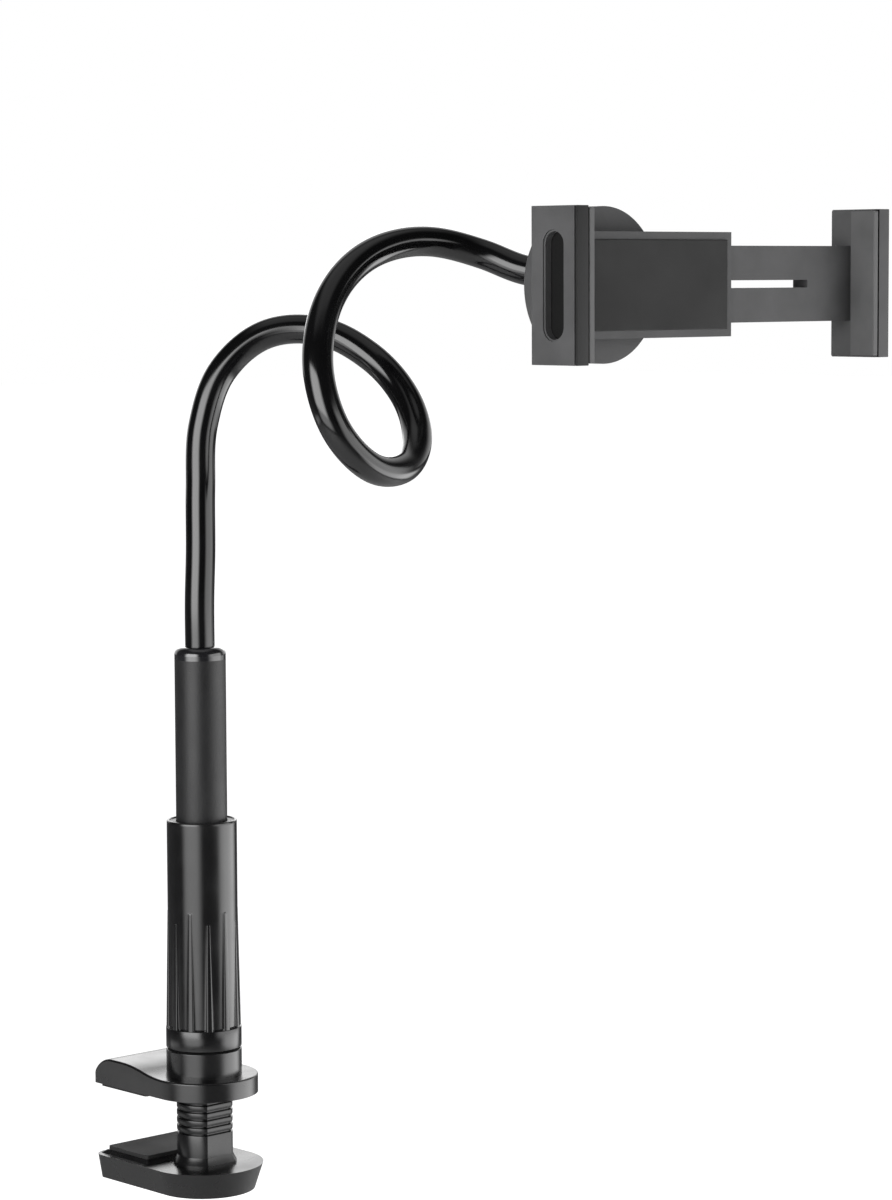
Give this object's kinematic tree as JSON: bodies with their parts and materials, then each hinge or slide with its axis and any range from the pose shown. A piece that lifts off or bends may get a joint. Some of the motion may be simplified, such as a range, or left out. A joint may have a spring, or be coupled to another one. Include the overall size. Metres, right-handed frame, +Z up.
{
  "type": "gooseneck tablet holder",
  "caption": "Table clamp with a screw handle, a looped bendable neck and a spring-loaded sliding holder that grips a tablet by its sides.",
  "frame": {"origin": "middle of the upper clamp pad's contact face, at the level of the table's top", "axes": "+Z up along the post, +X along the table's edge from the fixed to the sliding jaw, +Y in over the table"},
  "size_m": [0.3375, 0.2699, 0.5177],
  "materials": {
    "black_plastic": "fine satin, moulded",
    "holder_plastic": "matt, fine grain",
    "gloss_black": "glossy",
    "soft_grip": "matt, fine pebble grain",
    "neck_sheath": "smooth, satin gloss",
    "pad_rubber": "matt",
    "grip_pad": "matt, soft",
    "acetal": "smooth",
    "steel": "plated",
    "brass": "turned",
    "aluminium": "drawn"
  },
  "bodies": {
    "table_clamp": {"upper_jaw": "black_plastic", "upper_jaw_pad": "pad_rubber", "thrust_washer": "acetal", "retaining_clip": "steel"},
    "handle": {"handle_grip": "black_plastic", "clamp_nut": "brass", "handle_retainer": "black_plastic", "handle_bush": "acetal"},
    "post": {"clamp_stem": "black_plastic", "lower_jaw": "black_plastic", "lower_jaw_pad": "pad_rubber", "stem_washer": "steel", "stem_screw": "steel", "core_tube": "aluminium", "grip_sleeve": "soft_grip", "sleeve_cap": "gloss_black", "neck_ferrule": "brass", "neck_core_0": "aluminium", "neck_sheath_0": "neck_sheath"},
    "neck_1": {"neck_core_1": "aluminium", "neck_sheath_1": "neck_sheath"},
    "neck_2": {"neck_core_2": "aluminium", "neck_sheath_2": "neck_sheath"},
    "neck_3": {"neck_core_3": "aluminium", "neck_sheath_3": "neck_sheath"},
    "neck_4": {"neck_core_4": "aluminium", "neck_sheath_4": "neck_sheath", "ball_stud": "steel"},
    "seat_tilt": {"ball_seat_inner": "acetal"},
    "seat_pan": {"ball_seat_outer": "acetal"},
    "holder": {"ball_lock_ring": "holder_plastic", "holder_tray": "holder_plastic", "holder_cover": "holder_plastic", "cover_screws": "steel", "back_pad": "pad_rubber", "tray_spring_pins": "steel", "arm_stop_pin": "steel", "fixed_jaw": "holder_plastic", "fixed_jaw_face": "holder_plastic", "fixed_jaw_pad": "grip_pad", "fixed_jaw_screws": "steel", "fixed_pocket_plug": "pad_rubber", "tension_springs": "steel"},
    "slider": {"slide_arm": "holder_plastic", "arm_spring_pins": "steel", "sliding_jaw": "holder_plastic", "sliding_jaw_face": "holder_plastic", "sliding_jaw_pad": "grip_pad", "sliding_jaw_screws": "steel", "sliding_pocket_plug": "pad_rubber"}
  },
  "joints": [
    {"name": "handle_turn", "type": "hinge", "parent": "table_clamp", "child": "handle", "pos_m": [0, -0.03725, 0.09], "axis": [0, 0, 1], "range_deg": [-2701, 3421]},
    {"name": "clamp_slide", "type": "slide", "parent": "table_clamp", "child": "post", "axis": [0, 0, 1], "range_m": [-0.038, 0.03]},
    {"name": "neck_bend_base", "type": "hinge", "parent": "post", "child": "neck_1", "pos_m": [0, -0.03725, 0.2617], "axis": [1, 0, 0], "range_deg": [-15, 15]},
    {"name": "neck_bend_arch", "type": "hinge", "parent": "neck_1", "child": "neck_2", "pos_m": [0.0345, -0.05175, 0.4027], "axis": [0.6816, 0.7317, 0], "range_deg": [-15, 15]},
    {"name": "neck_bend_loop", "type": "hinge", "parent": "neck_2", "child": "neck_3", "pos_m": [0.0385, -0.15425, 0.3362], "axis": [0, 0, 1], "range_deg": [-15, 15]},
    {"name": "neck_bend_top", "type": "hinge", "parent": "neck_3", "child": "neck_4", "pos_m": [-0.0045, -0.14175, 0.4107], "axis": [-0.4789, 0.8779, 0], "range_deg": [-15, 15]},
    {"name": "holder_tilt", "type": "hinge", "parent": "neck_4", "child": "seat_tilt", "pos_m": [0.12225, -0.20154, 0.42805], "axis": [1, 0, 0], "range_deg": [-20, 20]},
    {"name": "holder_pan", "type": "hinge", "parent": "seat_tilt", "child": "seat_pan", "pos_m": [0.12225, -0.20154, 0.42805], "axis": [0, 0, 1], "range_deg": [-20, 20]},
    {"name": "holder_roll", "type": "hinge", "parent": "seat_pan", "child": "holder", "pos_m": [0.12225, -0.20154, 0.42805], "axis": [0, 1, 0], "range_deg": [-90, 90]},
    {"name": "jaw_slide", "type": "slide", "parent": "holder", "child": "slider", "axis": [1, 0, 0], "range_m": [-0.07, 0.01], "deforming": ["tension_springs"]}
  ],
  "couplings": [
    {"joint": "handle_turn", "follows": "clamp_slide", "rad_per_m": -1570.8}
  ]
}
